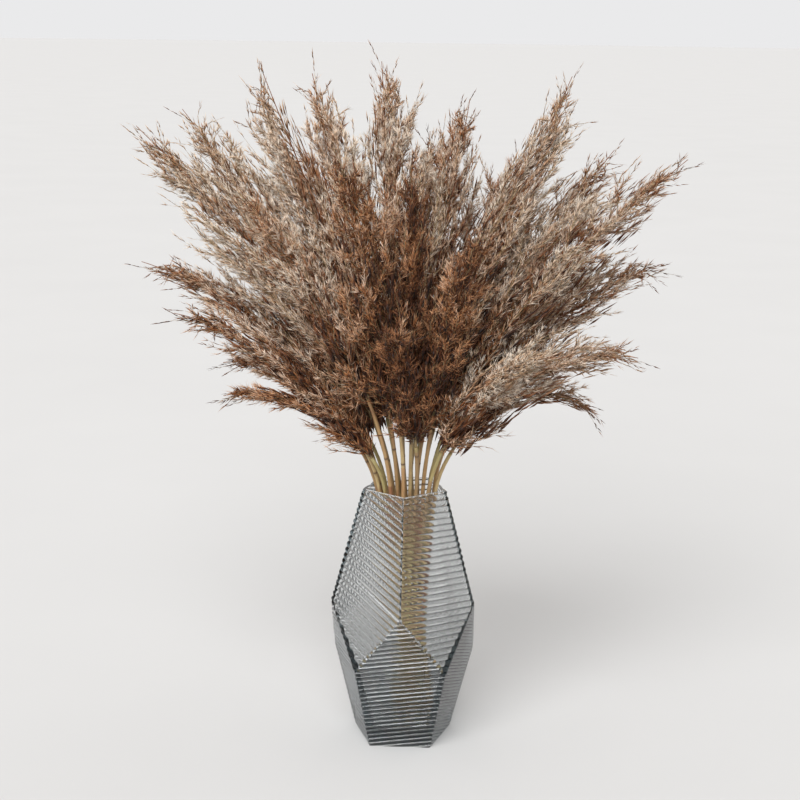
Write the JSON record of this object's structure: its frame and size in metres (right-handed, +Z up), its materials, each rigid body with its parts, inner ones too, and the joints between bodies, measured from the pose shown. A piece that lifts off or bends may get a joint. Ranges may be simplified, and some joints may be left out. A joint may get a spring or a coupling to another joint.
{
  "type": "bunch of dried reed in a glass vase",
  "caption": "Bunch of dried reed plumes on straw-coloured culms, standing fanned out in a smoky faceted ribbed glass vase.",
  "frame": {"origin": "middle of the vase's underside", "axes": "+Z up along the vase, -Y towards the front of the bunch, +X to its right seen from the front"},
  "size_m": [0.5072, 0.3219, 0.6481],
  "materials": {
    "smoky_glass": "gloss",
    "straw_culm": "satin",
    "reed_plume": "matte"
  },
  "bodies": {
    "root": {"reed_01_culm": "straw_culm", "reed_01_plume": "reed_plume", "reed_02_culm": "straw_culm", "reed_02_plume": "reed_plume", "reed_03_culm": "straw_culm", "reed_03_plume": "reed_plume", "reed_04_culm": "straw_culm", "reed_04_plume": "reed_plume", "reed_05_culm": "straw_culm", "reed_05_plume": "reed_plume", "reed_06_culm": "straw_culm", "reed_06_plume": "reed_plume", "reed_07_culm": "straw_culm", "reed_07_plume": "reed_plume", "reed_08_culm": "straw_culm", "reed_08_plume": "reed_plume", "reed_09_culm": "straw_culm", "reed_09_plume": "reed_plume", "reed_10_culm": "straw_culm", "reed_10_plume": "reed_plume", "reed_11_culm": "straw_culm", "reed_11_plume": "reed_plume", "reed_12_culm": "straw_culm", "reed_12_plume": "reed_plume", "reed_13_culm": "straw_culm", "reed_13_plume": "reed_plume", "reed_14_culm": "straw_culm", "reed_14_plume": "reed_plume", "reed_15_culm": "straw_culm", "reed_15_plume": "reed_plume", "reed_16_culm": "straw_culm", "reed_16_plume": "reed_plume", "reed_17_culm": "straw_culm", "reed_17_plume": "reed_plume", "reed_18_culm": "straw_culm", "reed_18_plume": "reed_plume", "reed_19_culm": "straw_culm", "reed_19_plume": "reed_plume", "reed_20_culm": "straw_culm", "reed_20_plume": "reed_plume", "reed_21_culm": "straw_culm", "reed_21_plume": "reed_plume", "reed_22_culm": "straw_culm", "reed_22_plume": "reed_plume", "reed_23_culm": "straw_culm", "reed_23_plume": "reed_plume", "reed_24_culm": "straw_culm", "reed_24_plume": "reed_plume", "reed_25_culm": "straw_culm", "reed_25_plume": "reed_plume", "reed_26_culm": "straw_culm", "reed_26_plume": "reed_plume", "reed_27_culm": "straw_culm", "reed_27_plume": "reed_plume", "vase": "smoky_glass"}
  },
  "joints": []
}
